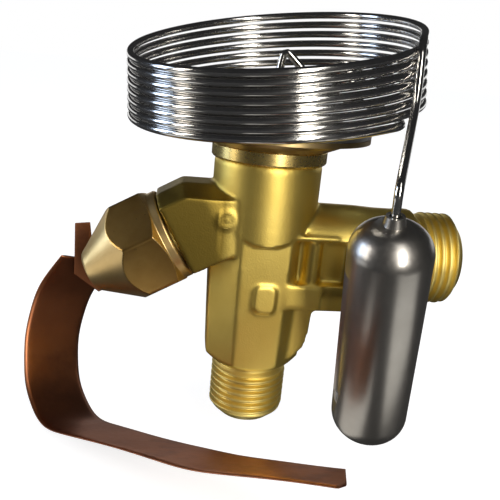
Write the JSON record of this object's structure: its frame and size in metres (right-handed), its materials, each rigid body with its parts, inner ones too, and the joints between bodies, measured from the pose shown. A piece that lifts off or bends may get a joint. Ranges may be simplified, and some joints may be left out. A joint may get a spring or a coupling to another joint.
{
  "type": "refrigerant expansion valve",
  "caption": "Angle refrigerant expansion valve in blasted brass with flare ends, stainless power head, coiled capillary, sensing bulb, seal cap and copper strap",
  "frame": {"origin": "where the vertical neck axis crosses the outlet axis", "axes": "+Z from the inlet up to the power head, +X out of the outlet, -Y the side the bulb hangs on"},
  "size_m": [0.0905, 0.0798, 0.0945],
  "materials": {
    "brass_blasted": "matte forged, fine blasted grain",
    "brass_machined": "machined, slightly toned",
    "steel_stainless": "drawn stainless sheet",
    "steel_polished": "bright drawn stainless tube",
    "steel_satin": "satin stainless tube",
    "steel_turned": "fine turned steel",
    "steel_spring": "hard drawn spring wire",
    "copper_sheet": "soft rolled copper sheet, toned dark",
    "bronze_turned": "turned bronze",
    "packing_black": "moulded graphite packing",
    "gasket_white": "cut sealing ring",
    "rubber_black": "moulded rubber",
    "plastic_frame": "moulded plastic"
  },
  "bodies": {
    "valve": {"valve_body": "brass_blasted", "power_head_lower_cup": "steel_stainless", "power_head_upper_cup": "steel_stainless", "head_nipple": "steel_stainless", "capillary_tube": "steel_polished", "sensing_bulb": "steel_satin", "bulb_nipple": "steel_satin", "bulb_strap": "copper_sheet", "diaphragm": "steel_stainless", "guide_bush": "bronze_turned", "hub_circlip": "steel_spring", "spindle_packing": "packing_black", "gland_nut": "brass_machined", "orifice_cartridge": "brass_machined", "orifice_o_ring": "rubber_black", "cone_spring_cup": "brass_machined", "filter_frame": "plastic_frame", "filter_screen": "steel_stainless", "superheat_spring": "steel_spring", "cone_spring": "steel_spring"},
    "spindle": {"setting_spindle": "steel_turned", "bevel_pinion": "steel_turned"},
    "hub": {"gear_hub": "bronze_turned"},
    "seat": {"spring_seat": "bronze_turned"},
    "cap_travel": {"cap_gasket": "gasket_white"},
    "cap": {"seal_cap": "brass_machined"},
    "needle": {"thrust_pad": "steel_turned", "push_rod": "steel_turned", "valve_cone": "steel_turned"}
  },
  "joints": [
    {"name": "spindle_turn", "type": "hinge", "parent": "valve", "child": "spindle", "pos_m": [-0.01732, 0, 0.0023], "axis": [-0.866, 0, -0.5], "range_deg": [-1080.02, 1080.02]},
    {"name": "hub_turn", "type": "hinge", "parent": "valve", "child": "hub", "pos_m": [0, 0, 0.006], "axis": [0, 0, 1], "range_deg": [-540.01, 540.01]},
    {"name": "seat_travel", "type": "slide", "parent": "valve", "child": "seat", "axis": [0, 0, 1], "range_m": [-0.0015, 0.0015], "deforming": ["superheat_spring"]},
    {"name": "cap_lift", "type": "slide", "parent": "valve", "child": "cap_travel", "axis": [-0.866, 0, -0.5], "range_m": [0, 0.008]},
    {"name": "cap_turn", "type": "hinge", "parent": "cap_travel", "child": "cap", "pos_m": [-0.02598, 0, -0.0027], "axis": [-0.866, 0, -0.5], "range_deg": [0, 1920.01]},
    {"name": "needle_travel", "type": "slide", "parent": "valve", "child": "needle", "axis": [0, 0, -1], "range_m": [0, 0.0006], "stiffness_N_per_m": 9000, "springref_m": -0.001, "deforming": ["cone_spring"]}
  ],
  "couplings": [
    {"joint": "hub_turn", "follows": "seat_travel", "rad_per_m": -6283.2},
    {"joint": "spindle_turn", "follows": "seat_travel", "rad_per_m": -12566},
    {"joint": "cap_turn", "follows": "cap_lift", "rad_per_m": 4188.8}
  ]
}
